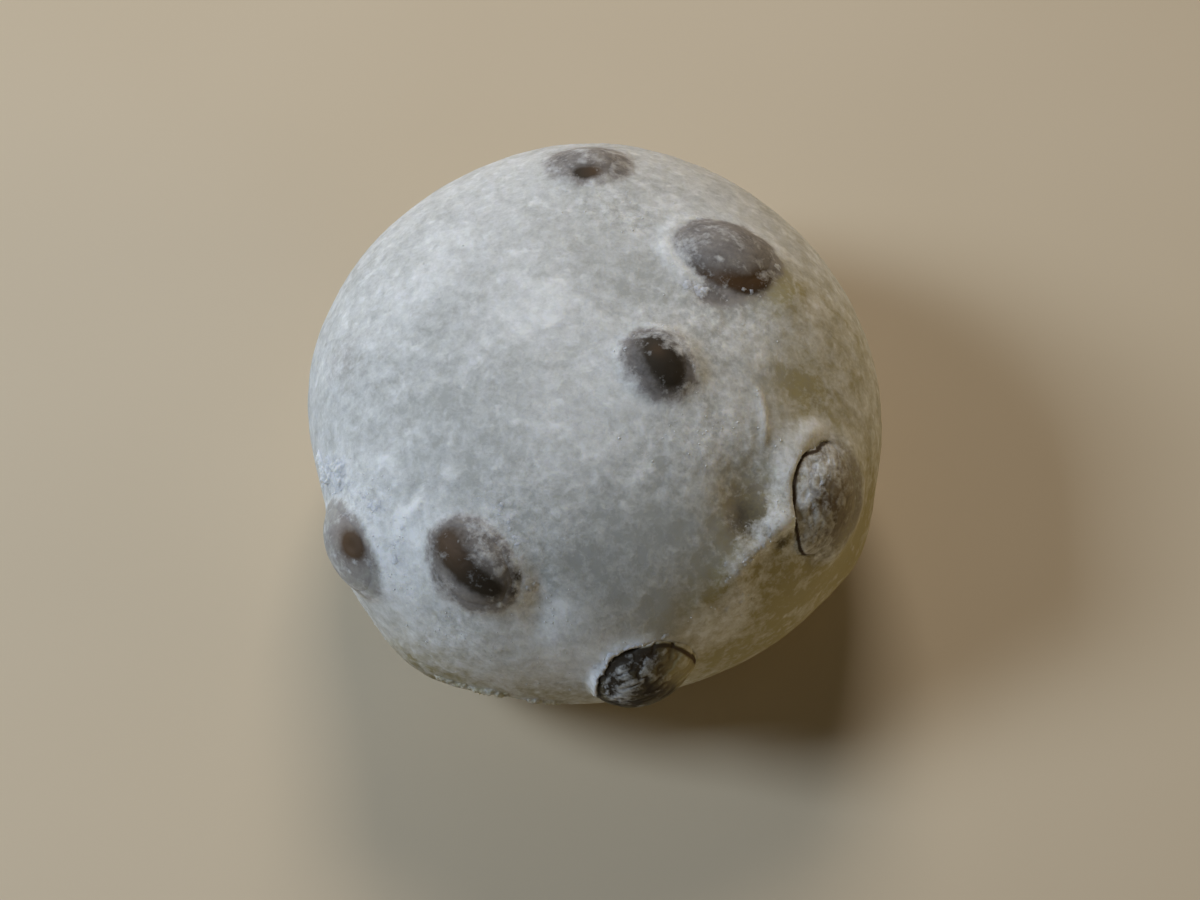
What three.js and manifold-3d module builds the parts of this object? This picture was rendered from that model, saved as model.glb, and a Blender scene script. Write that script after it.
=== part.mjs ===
// Bean-studded daifuku: a round cake of soft pounded rice, set down on its flat foot, with cooked
// beans pressed into its skin. Some beans stand bare in a torn socket, and some are coated by the
// dough. Millimetres, +Z up. The origin is the middle of the foot, on the surface that it rests on.
import * as THREE from "three";
import { mergeVertices } from "three/addons/utils/BufferGeometryUtils.js";
import Module from "manifold-3d";

const wasm = await Module();
wasm.setup();

// ---- Driving sizes of the cake ----
const GIRTH_RADIUS = 28.7; // mean radius at its widest height
const GIRTH_HEIGHT = 14.5; // how high the widest part lies
const CROWN_RISE = 20.5; // from the girth up to the top
const BELLY_DROP = 17.5; // how far the lower half would reach down if nothing held it up
const FULLNESS = 2.3; // power of the section: 2 is an ellipse, and more has fuller shoulders
const FOOT_BLEND = 4; // how softly the belly turns into the flat foot
const FOOT_PRESS = 0.15; // and how much of its rounded underside is pressed flat
const CAKE_GRID = 24; // squares along each edge of the box that is blown up into the cake

// The girth isn't a true circle: each line adds so many lobes, so deep, the first in that direction.
const GIRTH_LOBES = [
  { lobes: 2, depth: 0.53, towards: 80 },
  { lobes: 3, depth: 0.48, towards: -11 },
  { lobes: 4, depth: 0.31, towards: -30 },
  { lobes: 5, depth: 0.2, towards: 19 },
];

// Soft swells (height above 0) and dents (below 0) of the skin. Places are degrees around from +X
// and degrees up from the level of the girth, as seen from the cake's centre. Reach is a radius.
const SWELLS = [
  { around: -122, up: -3, height: 0.5, reach: 5 }, // a bean sunk low in the front
  { around: -176, up: 29, height: 0.5, reach: 5 }, // a bean sunk in the left side
  { around: 172, up: 8, height: 0.35, reach: 7 }, // the fuller flank under it
  { around: 12, up: 42, height: 0.6, reach: 4 }, // the dough's fold beside the right top bean
  { around: -161, up: 3, height: -1.7, reach: 3.4 }, // a notch behind the left bean
  { around: -140, up: -8, height: -0.6, reach: 4 }, // and the dough drawn in below that bean
  { around: -108, up: -14, height: -0.5, reach: 5 }, // the foot's edge, tucked under in front
  { around: -100, up: 22, height: -0.5, reach: 3 }, // a dent beside the front left bean
  { around: -28, up: -5, height: 0.8, reach: 4.5 }, // the dough heaped up under the right bean
  { around: -47, up: 35, height: -0.8, reach: 4 }, // the valley along that bean
  { around: -18, up: 37, height: -0.5, reach: 4.5 }, // the hollow above it
  { around: -46, up: 27, height: 0.5, reach: 2.2 }, // the lip of torn dough on its near side
  { around: -60, up: 21, height: 0.3, reach: 2.6 }, // and where that lip runs out
];

// ---- The beans ----
// size is length, width and thickness. proud is how far the crown stands above the skin, and turn
// is the long axis, in degrees from level towards uphill.
const BEANS = [
  { name: "bean_top_back", around: 91, up: 43, size: [9.8, 9.4, 8], proud: 1.5, turn: 0 },
  { name: "bean_top_right", around: 29, up: 52, size: [12, 9.6, 8.4], proud: 2, turn: 50 },
  { name: "bean_top", around: -44, up: 67, size: [9.6, 8.6, 8], proud: 1.6, turn: 88 },
  { name: "bean_right", around: -34, up: 22, size: [12, 9.8, 8.6], proud: 1.9, turn: 38 },
  { name: "bean_front", around: -81, up: 4, size: [10.6, 10, 8.6], proud: 2.8, turn: 25 },
  { name: "bean_front_left", around: -115, up: 28, size: [11, 9.4, 8.6], proud: 1.9, turn: -25 },
  { name: "bean_left", around: -141, up: 14, size: [11.2, 8.8, 8], proud: 2.1, turn: 0 },
  { name: "bean_rear_left", around: 131, up: -2, size: [10.8, 9.2, 8.2], proud: 1.4, turn: 30 },
  { name: "bean_rear", around: 96, up: 3, size: [11.4, 9.4, 8.4], proud: 1.4, turn: -15 },
  { name: "bean_rear_right", around: 62, up: -3, size: [10.4, 9, 8], proud: 1.4, turn: 60 },
];
const BEAN_GRID = 3; // splits of the icosahedron that each bean is made of
const BEAN_LUMP = 0.035; // how uneven a bean is, as a share of its size
const LUMP_WAVES = { along: 3, across: 2 }; // radians over half the bean, each way
const COLLAR_HEIGHT = 0.65; // how far the skin is pushed up round a bean
const COLLAR_REACH = 2.4; // and over what width
const SOCKET_GAP = 0.3; // between a bean and the dough round it

const NORMAL_STEP = 0.5; // degrees either way, to find which way the skin faces
const SAME_POINT = 1e-4; // corners closer than this are one

const SKIN_COLOUR = new THREE.Color(0.6, 0.61, 0.61);
const BEAN_COLOUR = new THREE.Color(0.13, 0.11, 0.1);
const SKIN_ROUGHNESS = 0.85;
const BEAN_ROUGHNESS = 0.55;

const radians = THREE.MathUtils.degToRad;
const CENTRE = new THREE.Vector3(0, 0, GIRTH_HEIGHT);

// The unit vector from the cake's centre towards a place on the skin.
function direction(around, up) {
  const level = Math.cos(radians(up));
  return new THREE.Vector3(
    level * Math.cos(radians(around)),
    level * Math.sin(radians(around)),
    Math.sin(radians(up)),
  );
}

// The smaller of two lengths, eased where they are within `ease` of each other.
function softMin(a, b, ease) {
  const share = Math.max(ease - Math.abs(a - b), 0) / ease;
  return Math.min(a, b) - (share ** 3 * ease) / 6;
}

function girthRadius(around) {
  const lobe = ({ lobes, depth, towards }) => depth * Math.cos(lobes * (around - radians(towards)));
  return GIRTH_RADIUS + GIRTH_LOBES.reduce((sum, each) => sum + lobe(each), 0);
}

// How far the bare cake reaches from its centre along a direction: a full dome and belly, cut off
// by the surface that it rests on.
function bareReach(d) {
  const level = Math.hypot(d.x, d.y) / girthRadius(Math.atan2(d.y, d.x));
  const upright = Math.abs(d.z) / (d.z > 0 ? CROWN_RISE : BELLY_DROP);
  const body = (level ** FULLNESS + upright ** FULLNESS) ** (-1 / FULLNESS);
  return d.z < 0 ? softMin(body, (GIRTH_HEIGHT + FOOT_PRESS) / -d.z, FOOT_BLEND) : body;
}

// A bump of height 1 that fades over `reach`, on a skin about one girth radius from the centre.
function fade(d, at, reach) {
  const away = GIRTH_RADIUS * d.angleTo(at);
  return Math.exp(-((away / reach) ** 2));
}

// How far the skin reaches, with its swells and with the collars that the beans push up.
function skinReach(d) {
  let reach = bareReach(d);
  for (const swell of SWELLS) {
    reach += swell.height * fade(d, direction(swell.around, swell.up), swell.reach);
  }
  for (const bean of BEANS) {
    const inner = (bean.size[0] + bean.size[1]) / 4;
    reach += COLLAR_HEIGHT * fade(d, direction(bean.around, bean.up), inner + COLLAR_REACH / 2);
  }
  return d.z < 0 ? Math.min(reach, GIRTH_HEIGHT / -d.z) : reach;
}

const onSkin = (d, reachOf) => d.clone().multiplyScalar(reachOf(d)).add(CENTRE);

// The skin's outward normal at a place, from two short steps along it.
function skinNormal(around, up) {
  const along = onSkin(direction(around + NORMAL_STEP, up), bareReach);
  along.sub(onSkin(direction(around - NORMAL_STEP, up), bareReach));
  const uphill = onSkin(direction(around, up + NORMAL_STEP), bareReach);
  uphill.sub(onSkin(direction(around, up - NORMAL_STEP), bareReach));
  return along.cross(uphill).normalize();
}

function solidOf(geometry) {
  geometry.deleteAttribute("normal");
  geometry.deleteAttribute("uv");
  const merged = mergeVertices(geometry, SAME_POINT);
  const vertProperties = new Float32Array(merged.attributes.position.array);
  const triVerts = new Uint32Array(merged.index.array);
  return new wasm.Manifold(new wasm.Mesh({ numProp: 3, vertProperties, triVerts }));
}

function meshOf(name, solid, material) {
  const { numProp, vertProperties, triVerts } = solid.getMesh();
  const geometry = new THREE.BufferGeometry();
  const points = Float32Array.from(
    { length: (vertProperties.length / numProp) * 3 },
    (_, i) => vertProperties[Math.floor(i / 3) * numProp + (i % 3)],
  );
  geometry.setAttribute("position", new THREE.BufferAttribute(points, 3));
  geometry.setIndex(new THREE.BufferAttribute(triVerts, 1));
  geometry.computeVertexNormals();
  const mesh = new THREE.Mesh(geometry, material);
  mesh.name = name;
  return mesh;
}

// Moves each point of a geometry to where `place` puts it.
function reshape(geometry, place) {
  const position = geometry.attributes.position;
  const point = new THREE.Vector3();
  for (let i = 0; i < position.count; i += 1) {
    point.fromBufferAttribute(position, i);
    const moved = place(point);
    position.setXYZ(i, moved.x, moved.y, moved.z);
  }
  return geometry;
}

// The cake, before its sockets: a box of small squares blown up to the skin's reach. The tangent
// spreads the squares evenly over the ball of directions.
function cakeBody() {
  const box = new THREE.BoxGeometry(2, 2, 2, CAKE_GRID, CAKE_GRID, CAKE_GRID);
  const even = (t) => Math.tan((t * Math.PI) / 4);
  return solidOf(
    reshape(box, (p) => {
      const d = new THREE.Vector3(even(p.x), even(p.y), even(p.z)).normalize();
      return onSkin(d, skinReach);
    }),
  );
}

// A bean, or with `grow` above 0 the socket that it lies in: an ellipsoid with three soft lumps,
// its long axis turned and its thickness along the skin's normal.
function beanBody(bean, grow) {
  const normal = skinNormal(bean.around, bean.up);
  const level = new THREE.Vector3(0, 0, 1).cross(normal).normalize();
  const uphill = normal.clone().cross(level);
  const turn = radians(bean.turn);
  const long = level.clone().multiplyScalar(Math.cos(turn));
  long.addScaledVector(uphill, Math.sin(turn));
  const wide = normal.clone().cross(long);
  const seat = onSkin(direction(bean.around, bean.up), bareReach);
  seat.addScaledVector(normal, bean.proud - bean.size[2] / 2);
  const [length, width, thickness] = bean.size.map((full) => full / 2 + grow);
  const lump = (p) => {
    const lengthwise = Math.sin(LUMP_WAVES.along * p.x + bean.turn);
    return 1 + BEAN_LUMP * lengthwise * Math.cos(LUMP_WAVES.across * p.y - p.z);
  };
  return solidOf(
    reshape(new THREE.IcosahedronGeometry(1, BEAN_GRID), (p) => {
      const size = lump(p);
      return seat
        .clone()
        .addScaledVector(long, p.x * length * size)
        .addScaledVector(wide, p.y * width * size)
        .addScaledVector(normal, p.z * thickness);
    }),
  );
}

const skin = new THREE.MeshStandardMaterial({
  color: SKIN_COLOUR,
  roughness: SKIN_ROUGHNESS,
  metalness: 0,
});
const hull = new THREE.MeshStandardMaterial({
  color: BEAN_COLOUR,
  roughness: BEAN_ROUGHNESS,
  metalness: 0,
});

const sockets = BEANS.map((bean) => beanBody(bean, SOCKET_GAP));
const cake = sockets.reduce((body, socket) => body.subtract(socket), cakeBody());

const daifuku = new THREE.Group();
daifuku.add(meshOf("mochi", cake, skin));
for (const bean of BEANS) {
  daifuku.add(meshOf(bean.name, beanBody(bean, 0), hull));
}

export default daifuku;
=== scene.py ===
"""A bean-studded daifuku: a round cake of pounded rice with cooked beans in its skin, dusted with
starch. Sizes are in millimetres, and each mesh is written in metres."""

import bpy
import numpy as np
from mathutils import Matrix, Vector


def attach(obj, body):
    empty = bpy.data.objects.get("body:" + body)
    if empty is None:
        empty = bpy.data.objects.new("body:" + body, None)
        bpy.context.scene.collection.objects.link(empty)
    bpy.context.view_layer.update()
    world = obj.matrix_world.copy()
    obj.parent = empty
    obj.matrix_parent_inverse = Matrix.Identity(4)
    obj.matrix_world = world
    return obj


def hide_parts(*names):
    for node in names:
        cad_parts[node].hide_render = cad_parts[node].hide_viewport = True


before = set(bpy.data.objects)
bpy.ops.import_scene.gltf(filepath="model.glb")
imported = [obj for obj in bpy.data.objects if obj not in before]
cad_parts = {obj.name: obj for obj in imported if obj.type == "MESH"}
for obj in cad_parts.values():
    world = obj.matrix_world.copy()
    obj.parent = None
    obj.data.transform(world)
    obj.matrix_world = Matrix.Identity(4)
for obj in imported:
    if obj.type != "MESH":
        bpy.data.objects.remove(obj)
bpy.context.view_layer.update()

# ---- The rice cake -----------------------------------------------------------------------------
# A ball of steamed sweet rice, pounded to a smooth dough and closed round its filling by hand. It
# settles on a flat foot, and it is soft enough for the beans that are kneaded into it to push its
# skin up, show through it, or tear it and stand bare. Starch keeps it from sticking.
MM = 0.001  # a millimetre in metres
GIRTH_RADIUS = 28.7
GIRTH_HEIGHT = 14.5
CROWN_RISE = 20.5
BELLY_DROP = 17.5
FULLNESS = 2.3  # power of the section: 2 is an ellipse, and more has fuller shoulders
FOOT_BLEND = 4.0
FOOT_PRESS = 0.15
GIRTH_LOBES = [(2, 0.53, 80), (3, 0.48, -11), (4, 0.31, -30), (5, 0.2, 19)]  # count, depth, towards

# Swells and dents of the skin: degrees around from +X, degrees up from the girth, height, reach.
SWELLS = [
    (-122, -3, 0.5, 5.0), (-176, 29, 0.5, 5.0), (172, 8, 0.35, 7.0), (12, 42, 0.6, 4.0),
    (-161, 3, -1.7, 3.4), (-140, -8, -0.6, 4.0), (-108, -14, -0.5, 5.0), (-100, 22, -0.5, 3.0),
    (-28, -5, 0.8, 4.5), (-47, 35, -0.8, 4.0), (-18, 37, -0.5, 4.5), (-46, 27, 0.5, 2.2),
    (-60, 21, 0.3, 2.6), (-52, 33.5, -0.3, 2.5),
]

# The beans, where they lie in the dough: size is length, width and thickness, proud is how far the
# crown stands out, and turn is the long axis in degrees from level. A tear is a stretch of the rim
# where the dough has come off: its middle and half its width in degrees round the bean, how far its
# edge stands off (or laps over, below 0), how ragged it is, and how high it is rolled back.
# A bank is dough and starch pushed up beside the rim: its middle and half its width in degrees, how
# far off the rim it lies, how wide and high it is, and the starch on it.
# film is how well the dough hides the bean where it coats it, veil how deep under the skin the
# bean still shows, powder the starch on it, the damp mark how clear and yellow that dough is, partly
# its own damp tone and partly painted warm bounce light, and wrinkle how deep and how far apart the
# bean's creases are. Each spot is a place as shares of the length and width, a reach and an amount:
# worn is film lost (below 0) or kept, brown is thin skin, dust is starch, crumbs is how crumbly that
# is, and a pit is a dent in millimetres.
PLAIN = dict(tears=[], banks=[], wrinkle=(0.02, 1.5), pit=[])  # unless the bean's row differs
BEANS = [
    dict(
        PLAIN, name="bean_top_back", around=91, up=43, size=(9.8, 9.4, 8), proud=1.5, turn=0,
        film=0.62, veil=2.0, powder=0.1, damp_and_bounce=0.1,
        worn=[(0.13, 0.54, 0.16, -1.2), (-0.08, 0.5, 0.18, -0.6), (0.5, 0.8, 0.3, 0.15),
              (-0.5, 0.3, 0.4, -0.1), (0.6, 0.0, 0.3, -0.12)],
        brown=[(-0.15, 0.45, 0.25, 0.7)],
        dust=[(-0.05, 0.76, 0.08, 1.2), (-0.34, 0.68, 0.1, 0.6), (0.6, 0.8, 0.25, 0.2),
              (0.05, 0.48, 0.28, -0.3)],
        crumbs=[(0, 1.0, 0.5, 0.6), (0.5, 0.3, 0.4, 0.3)],
        pit=[(0.12, 0.5, 0.17, 0.35), (-0.12, 0.46, 0.17, 0.2)],
    ),
    dict(
        PLAIN, name="bean_top_right", around=29, up=52, size=(12, 9.6, 8.4), proud=2, turn=50,
        banks=[(5, 60, 0.7, 0.8, 0.25, 0.9), (-115, 40, 1.3, 1.1, 0.15, 0.3)],
        film=0.55, veil=1.2, powder=-0.12, damp_and_bounce=0.1,
        worn=[(-0.06, 0.83, 0.26, -0.45), (-0.32, 0.78, 0.24, -0.55), (-0.52, 0.6, 0.22, -0.6),
              (-0.62, 0.42, 0.2, -0.5), (0.35, 0.76, 0.22, -0.35)],
        brown=[(-0.17, 0.8, 0.3, 0.9), (-0.55, 0.5, 0.3, 0.9), (0.2, 0.8, 0.3, 0.6)],
        dust=[(0.72, 0.3, 0.35, 0.3), (0.6, 0.66, 0.3, 0.3), (0.1, 0.99, 0.2, 0.35),
              (-0.35, 0.93, 0.2, 0.35), (-0.72, 0.68, 0.2, 0.4), (0.15, 0.49, 0.07, 0.4),
              (0.2, 0.44, 0.06, 0.3), (0.4, 0.15, 0.12, 0.25), (-0.75, 0.25, 0.12, 0.4),
              (-0.3, 0.75, 0.3, -0.15)],
        crumbs=[(0.7, 0.5, 0.5, 0.5), (0.1, 1.0, 0.5, 0.9), (-0.5, 0.95, 0.5, 0.9)],
        pit=[(-0.1, 0.95, 0.4, -0.35), (-0.55, 0.75, 0.35, -0.25)],
    ),
    dict(
        PLAIN, name="bean_top", around=-44, up=67, size=(9.6, 8.6, 8), proud=1.6, turn=88,
        banks=[(-90, 70, -0.4, 1.3, 0.25, 0.2)],
        film=0.46, veil=0.8, powder=-0.12, damp_and_bounce=0.05,
        worn=[(0.33, -0.11, 0.2, -0.45), (0.12, 0.0, 0.24, -0.6), (-0.14, 0.08, 0.28, -0.6),
              (-0.45, 0.16, 0.24, -0.45), (-0.2, -0.15, 0.3, -0.25), (0.3, 0.55, 0.3, -0.05)],
        brown=[(0.15, -0.05, 0.16, 0.4)],
        dust=[(-0.1, -0.7, 0.3, 0.55), (0.4, -0.75, 0.3, 0.5), (-0.85, -0.2, 0.25, 0.5),
              (-0.52, -0.45, 0.14, 0.55), (-0.1, -0.45, 0.1, 0.4), (-0.68, 0.0, 0.1, 0.4),
              (-0.35, -0.5, 0.1, 0.4), (-0.1, 0.1, 0.3, -0.2)],
        crumbs=[(-0.2, -0.8, 0.6, 0.9), (0.6, -0.6, 0.35, 0.8), (-0.8, -0.1, 0.45, 0.9)],
    ),
    dict(
        PLAIN, name="bean_right", around=-34, up=22, size=(12, 9.8, 8.6), proud=1.9, turn=38,
        tears=[(30, 15, 0.0, 0.35, 0.0), (72, 27, 0.55, 0.1, 0.03), (130, 31, 0.8, 0.3, 0.03)],
        banks=[(60, 50, 1.1, 1.0, 0.42, 1.3), (-90, 80, -0.6, 2.2, 0.75, 0)],
        film=0.72, veil=2.2, powder=0.1, damp_and_bounce=0.5, wrinkle=(0.05, 0.8),
        worn=[(0.0, 0.43, 0.2, -0.2), (0.0, 0.05, 0.4, -0.22), (-0.36, 0.15, 0.4, -0.1),
              (0.5, 0.5, 0.4, -0.15), (0.0, -1.0, 0.5, 0.25), (0.07, 0.6, 0.15, -0.2)],
        brown=[(0.0, 0.0, 1.0, 0.9)],
        dust=[(0.42, 0.65, 0.4, 0.35), (0.05, 0.75, 0.3, 0.35), (-0.6, 0.55, 0.35, 0.3),
              (-0.8, 0.3, 0.3, 0.25), (0.75, 0.2, 0.35, 0.3), (-0.1, -0.2, 0.4, -0.15)],
        crumbs=[(0.4, 0.6, 0.6, 0.9), (-0.4, 0.7, 0.6, 1.0), (-0.8, 0.2, 0.4, 0.8)],
        pit=[(0.1, 0.95, 0.4, -0.4), (0.55, 0.8, 0.35, -0.35), (-0.45, 0.85, 0.35, -0.75),
             (-0.75, 0.5, 0.3, -0.6), (-0.05, 0.45, 0.1, 0.12), (-0.2, 0.6, 0.08, 0.15),
             (0.5, 0.6, 0.07, 0.15), (0.25, 0.55, 0.06, 0.12), (0.6, 0.35, 0.06, 0.1),
             (0.3, 0.8, 0.06, 0.12), (0.05, 0.75, 0.06, 0.12), (-0.5, 0.6, 0.07, 0.15)],
    ),
    dict(
        PLAIN, name="bean_front", around=-81, up=4, size=(10.6, 10, 8.6), proud=2.8, turn=25,
        tears=[(15, 40, 0.3, 0.1, 0.05), (80, 25, 0.0, 0.25, 0.25), (120, 15, -0.45, 0.3, 0.25),
               (155, 20, -0.85, 0.3, 0.3)],
        banks=[(100, 70, 0.5, 0.8, 0.1, 0.2)],
        film=0.3, veil=0.5, powder=-0.2, damp_and_bounce=0.9, wrinkle=(0.1, 1.3),
        worn=[(0.77, 0.15, 0.38, 0.7), (0.72, -0.21, 0.3, 0.4), (0.08, 0.85, 0.3, -0.2),
              (0.45, 0.75, 0.2, -0.3), (0.24, 0.15, 0.2, -0.1), (-0.4, 0.5, 0.3, -0.15)],
        brown=[(0.8, 0.1, 0.5, 0.9)],
        dust=[(0.42, 0.7, 0.1, 0.35), (0.55, 0.66, 0.08, 0.3), (-0.09, 0.77, 0.12, 0.35),
              (-0.3, 0.47, 0.12, 0.35), (0.05, 0.53, 0.12, 0.35), (0.31, 0.57, 0.12, 0.3),
              (-0.14, 0.43, 0.1, 0.3), (-0.45, 0.19, 0.25, 0.5), (0.2, 0.3, 0.5, 0.2),
              (-0.3, 0.6, 0.3, 0.2), (0.8, 0.2, 0.35, 0.25), (-0.3, -0.55, 0.3, 0.3),
              (0.25, -0.6, 0.3, 0.3)],
        crumbs=[(0, 0.5, 0.8, 0.7), (-0.9, 0.2, 0.4, 0.8)],
        pit=[(0.9, 0.2, 0.35, -0.5), (0.85, -0.2, 0.3, -0.4), (0.6, 0.75, 0.3, -0.35)],
    ),
    dict(
        PLAIN, name="bean_front_left", around=-115, up=28, size=(11, 9.4, 8.6), proud=1.9, turn=-25,
        banks=[(-165, 50, 0.7, 1.0, 0.12, 0.25), (40, 50, 0.5, 0.8, 0.12, 0.3)],
        film=0.56, veil=1.2, powder=-0.08, damp_and_bounce=0.1, wrinkle=(0.03, 1.4),
        worn=[(-0.5, 0.08, 0.3, -0.6), (-0.28, -0.02, 0.24, -0.6), (0.0, -0.05, 0.22, -0.6),
              (0.28, -0.02, 0.2, -0.8), (0.52, 0.0, 0.2, -0.6), (0.12, 0.93, 0.1, -0.6),
              (0.39, 0.8, 0.1, -0.6), (0.69, 0.49, 0.13, -0.6), (0.8, 0.2, 0.12, -0.5)],
        brown=[(-0.55, 0.1, 0.35, 0.6), (-0.2, 0.0, 0.3, 0.4)],
        dust=[(-0.04, 0.94, 0.1, 0.8), (0.24, 0.88, 0.1, 0.8), (0.52, 0.69, 0.12, 0.8),
              (0.78, 0.3, 0.09, 0.8), (-0.26, 0.7, 0.2, 0.4), (0.05, 0.6, 0.35, 0.25),
              (0.76, -0.2, 0.06, 0.8), (-0.75, -0.4, 0.25, 0.3), (-0.2, -0.75, 0.3, 0.2),
              (-0.4, 0.0, 0.4, -0.15)],
        crumbs=[(0.5, 0.7, 0.6, 0.9), (-0.2, 0.9, 0.4, 0.8), (0.9, 0.1, 0.4, 0.9),
                (0, 0.6, 0.3, 0.4), (-0.3, -0.9, 0.5, 0.5)],
    ),
    dict(
        PLAIN, name="bean_left", around=-141, up=14, size=(11.2, 8.8, 8), proud=2.1, turn=0,
        banks=[(60, 60, 0.4, 1.0, 0.1, 0.1)],
        film=0.8, veil=1.6, powder=-0.05, damp_and_bounce=0.15,
        worn=[(0.2, 0.58, 0.17, -1.6), (0.18, 0.54, 0.42, -0.5)],
        brown=[(0.18, 0.54, 0.45, 0.9), (-0.25, 0.5, 0.4, 0.5), (0.2, 0.58, 0.14, -0.3)],
        dust=[(0.41, 0.36, 0.06, 0.8), (0.42, 0.05, 0.05, 0.5), (0.75, -0.3, 0.12, 0.4),
              (0.45, 0.86, 0.25, 0.3), (0.8, 0.5, 0.25, 0.35), (0.95, 0.05, 0.25, 0.3),
              (-0.5, 0.1, 0.2, 0.2), (0.6, -0.5, 0.3, 0.2), (0.18, 0.54, 0.3, -0.6)],
        crumbs=[(0.3, -0.9, 0.5, 0.8), (-0.9, 0.2, 0.4, 0.8), (0.8, 0.5, 0.5, 0.7)],
        pit=[(0.18, 0.52, 0.12, 0.12)],
    ),
    dict(
        PLAIN, name="bean_rear_left", around=131, up=-2, size=(10.8, 9.2, 8.2), proud=1.4, turn=30,
        banks=[(70, 60, 0.5, 1.0, 0.15, 0.5)],
        film=0.6, veil=0.8, powder=0.0, damp_and_bounce=0.3,
        worn=[(0.1, 0.1, 0.35, -0.6)], brown=[(0.0, 0.2, 0.35, 0.8)],
        dust=[(-0.5, 0.5, 0.3, 0.5)], crumbs=[(-0.5, 0.5, 0.5, 0.8)],
    ),
    dict(
        PLAIN, name="bean_rear", around=96, up=3, size=(11.4, 9.4, 8.4), proud=1.4, turn=-15,
        tears=[(20, 50, 0.3, 0.15, 0.2), (110, 40, -0.3, 0.2, 0.35)],
        banks=[(60, 80, 0.7, 0.8, 0.12, 0.5)],
        film=0.45, veil=0.6, powder=-0.1, damp_and_bounce=0.4, wrinkle=(0.1, 1.3),
        worn=[(0.0, 0.0, 0.5, -0.4)], brown=[(-0.3, 0.1, 0.3, 0.8)],
        dust=[(0.4, 0.5, 0.4, 0.5), (-0.5, 0.4, 0.3, 0.4)], crumbs=[(0, 0.6, 0.6, 0.8)],
    ),
    dict(
        PLAIN, name="bean_rear_right", around=62, up=-3, size=(10.4, 9, 8), proud=1.4, turn=60,
        banks=[(0, 70, 0.5, 1.0, 0.12, 0.5)],
        film=0.62, veil=0.8, powder=0.0, damp_and_bounce=0.4,
        worn=[(-0.3, 0.3, 0.3, -0.5)], brown=[(-0.2, 0.3, 0.3, 0.7)],
        dust=[(0.3, 0.4, 0.25, 0.4)], crumbs=[(0.3, 0.4, 0.5, 0.8)],
    ),
]
COLLAR_HEIGHT = 0.65  # how far a bean lifts the skin round it, and how far beyond its own size
COLLAR_REACH = 2.4

# Where starch lies thicker (above 0) or is rubbed off (below 0): around, up, reach, amount.
DUSTINGS = [
    (178, 77, 5, 0.5), (-168, 68, 4, 0.3), (150, 80, 3.5, 0.4), (128, 66, 4, 0.2),
    (128, 42, 9, 0.3), (160, 50, 5, 0.2), (95, 72, 5, -0.35), (30, 78, 3.5, -0.35),
    (62, 66, 3, 0.3), (60, 52, 3, 0.3), (-150, 22, 3.5, 0.45), (-143, 27, 3, 0.4),
    (-130, 22, 3, 0.45), (-127, 16, 3, 0.4), (-88, 76, 4, 0.3), (-46, 84, 3.5, 0.2),
    (-104, 55, 5, 0.25), (-78, 56, 4, 0.3), (-90, 44, 5, 0.15), (-48, 47, 3, 0.3),
    (-97, 21, 2.6, 0.5), (-90, 12, 3.5, 0.3), (-66, 14, 2.6, 0.6), (-60, 16, 2.6, 0.5),
    (-147, 49, 8, -0.3), (-120, 46, 5, -0.25), (-75, 31, 8, -0.5), (-46, 37, 3, -0.3),
    (-18, 38, 4, -0.6), (9, 52, 3, -0.4), (0, 30, 6, -0.15), (-38, 2, 8, -0.6), (-112, 8, 5, 0.1),
    (170, 42, 6, 0.15), (-10, 55, 4, 0.15), (-30, 62, 2.5, -0.3), (14, 43, 3, -0.5),
    (-60, 0, 6, -0.5), (12, 58, 3, -0.35), (-107, 34, 2, -0.3), (-53, 34, 3.2, -0.25),
    (-50, 15, 4, -0.3), (-50, 32.5, 1.6, -0.45), (-57, 30, 2.5, -0.35), (-48.2, 23.7, 1.0, -0.8),
    (-47.2, 20.8, 0.7, 0.6), (-97, 11, 4, 0.2), (12, 55, 2, -0.3), (-98, 38, 5, -0.15),
    (-146, 33.5, 1.0, 0.6), (-130, 40, 0.9, 0.6), (-149, 30, 1.0, 0.5), (-96, 22, 1.0, 0.4),
    (-112, 13.5, 0.9, 0.5), (-119, 13.5, 0.8, 0.4), (-126, 18, 0.8, 0.4), (-131, 25, 3, 0.5),
    (-138, 20, 3, 0.3), (-97, 10, 3, 0.25), (-119, 8, 4, 0.2), (-22, 47, 4, 0.2),
    (-48.8, 31.4, 1.4, -0.35), (9.5, 57.5, 3, -0.2), (-68.8, 15.7, 1.6, 0.35),
    (-64.3, 7.4, 2, 0.35), (-93, 26, 2, 0.3), (0, 38, 3, 0.15), (-99, 11, 3, 0.2),
    (-103, 24, 1.6, 0.25), (-30, 8, 5, -0.3), (92, 50, 3, -0.2), (-65, 21, 2.5, -0.4),
    (-76, 20.5, 2.5, -0.3), (-120, -3, 4, -0.3), (-20, 52, 3, -0.25),
]

# Where it lies in crumbs, with the dough or a bean dark between them.
CRUMBLY = [
    (-147, 22, 3.5, 0.8), (-139, 27, 3, 0.5), (-131, 24, 3, 0.1), (-108, 37, 2.5, 0.9),
    (-103, 31, 2.5, 1.0), (-101, 25, 2.5, 0.8), (8, 58, 3.5, 1.0), (12, 64, 2.5, 0.8),
    (85, 57, 4, 0.8), (68, 60, 3, 0.7), (-48, 50, 6, 0.5), (-45, 42, 5, 0.5), (-69, 51, 5, 0.4),
    (-5, 50, 7, 0.5), (-40, 33, 3, 0.6), (-54, 27, 4, 0.9), (-115, 12, 5, 0.6), (-20, 62, 3, 0.9),
    (-30, 72, 3, 0.7), (-130, 30, 2.5, 0.2), (-47, 22, 3.5, 0.9), (-86, 10, 3, 0.4),
    (50, 55, 3, 0.5), (-138, 18, 3, 0.4), (20, 44, 3, 0.6), (-62, 15, 4, 0.5), (-50, 31, 3, 0.9),
    (-60, 27, 3, 0.7), (12, 52, 2.5, 0.8), (-36, 34, 2.5, 0.5), (-113, 15, 2.5, 0.5),
]
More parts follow.
